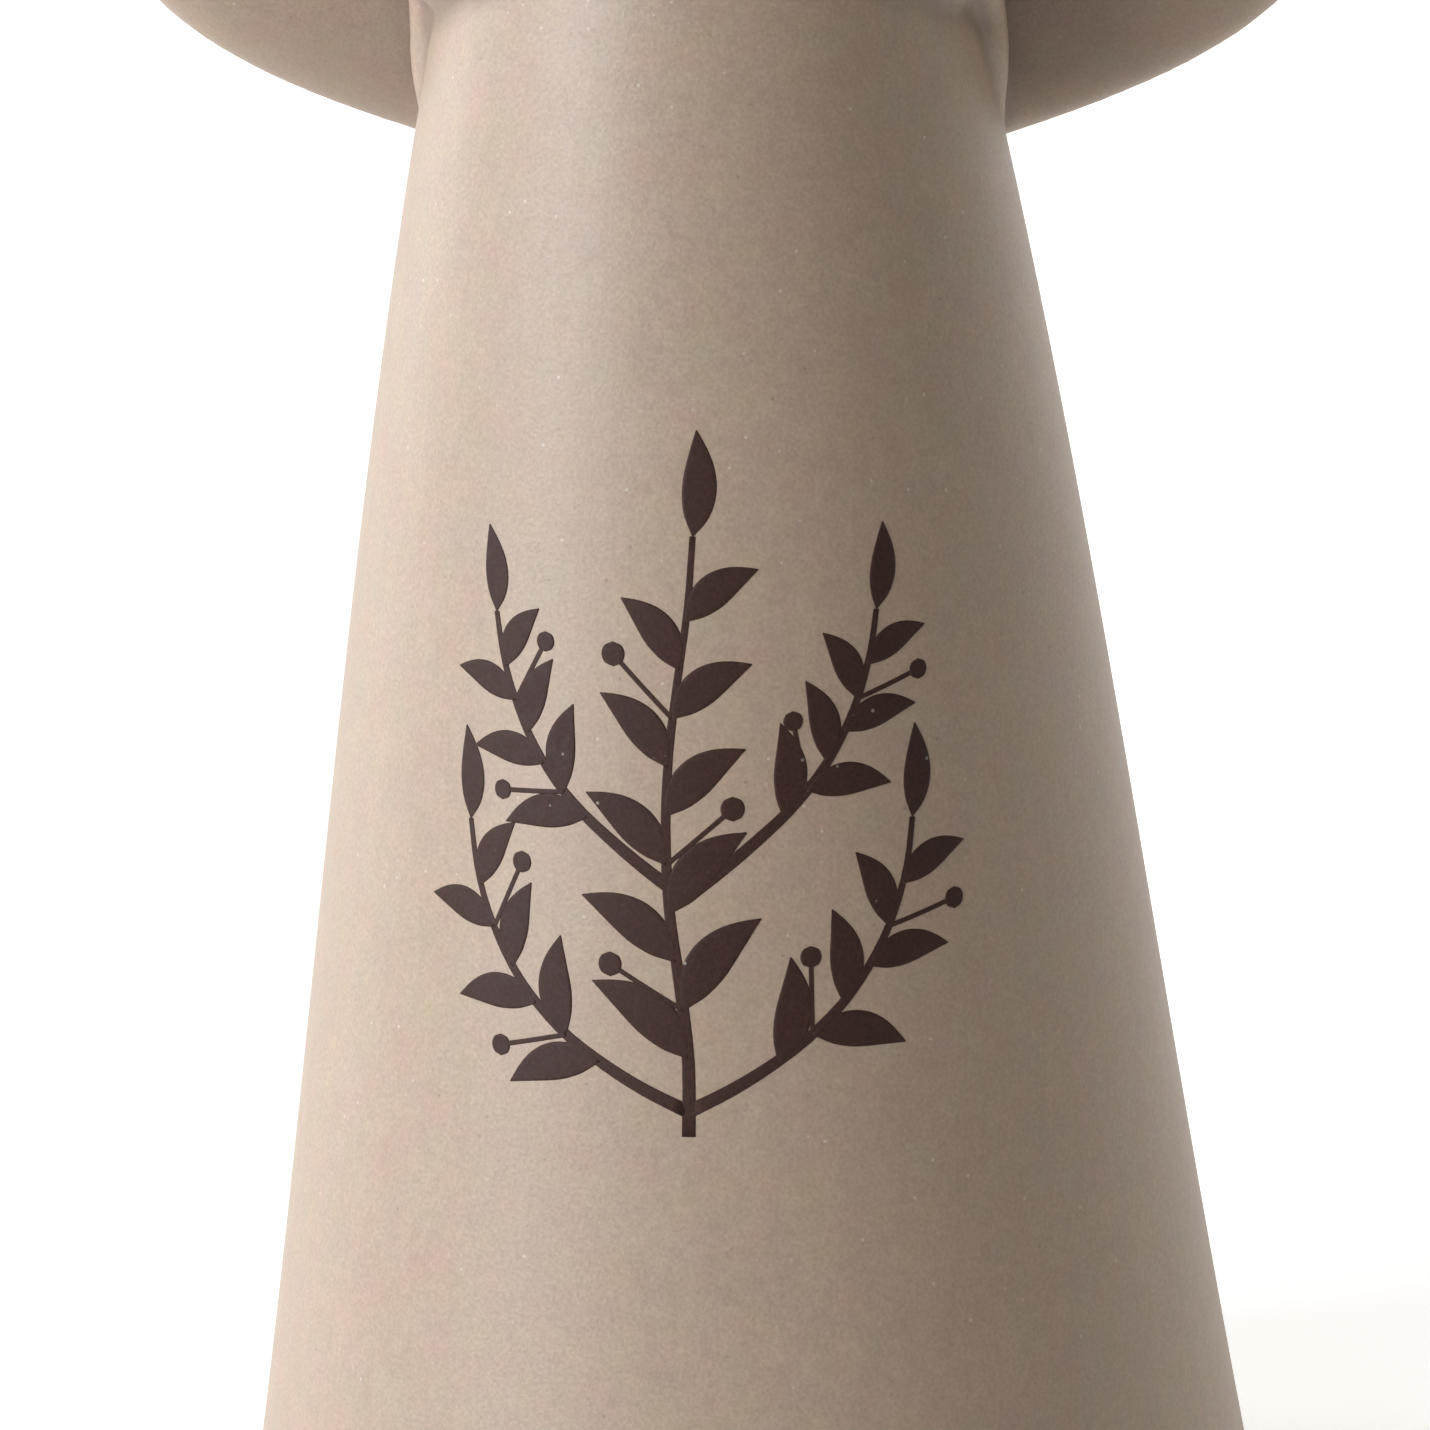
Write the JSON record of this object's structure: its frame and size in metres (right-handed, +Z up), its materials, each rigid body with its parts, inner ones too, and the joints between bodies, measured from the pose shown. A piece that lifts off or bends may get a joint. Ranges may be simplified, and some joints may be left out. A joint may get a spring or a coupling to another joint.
{
  "type": "angel figurine",
  "caption": "Cast standing angel with a plain conical robe, plump rounded wings at the back and hands joined on the chest; a table or shelf ornament that rests on its flat underside.",
  "frame": {"origin": "centre of the flat underside", "axes": "+Z up, from the underside to the crown; the face and the joined hands look along -Y, so the wings are towards +Y; +X is the viewer's right seen from the front"},
  "size_m": [0.0988, 0.0806, 0.1949],
  "materials": {
    "matte_resin": "matte, with a fine stone-like grain"
  },
  "bodies": {
    "root": {"angel_figurine": "matte_resin"}
  },
  "joints": []
}
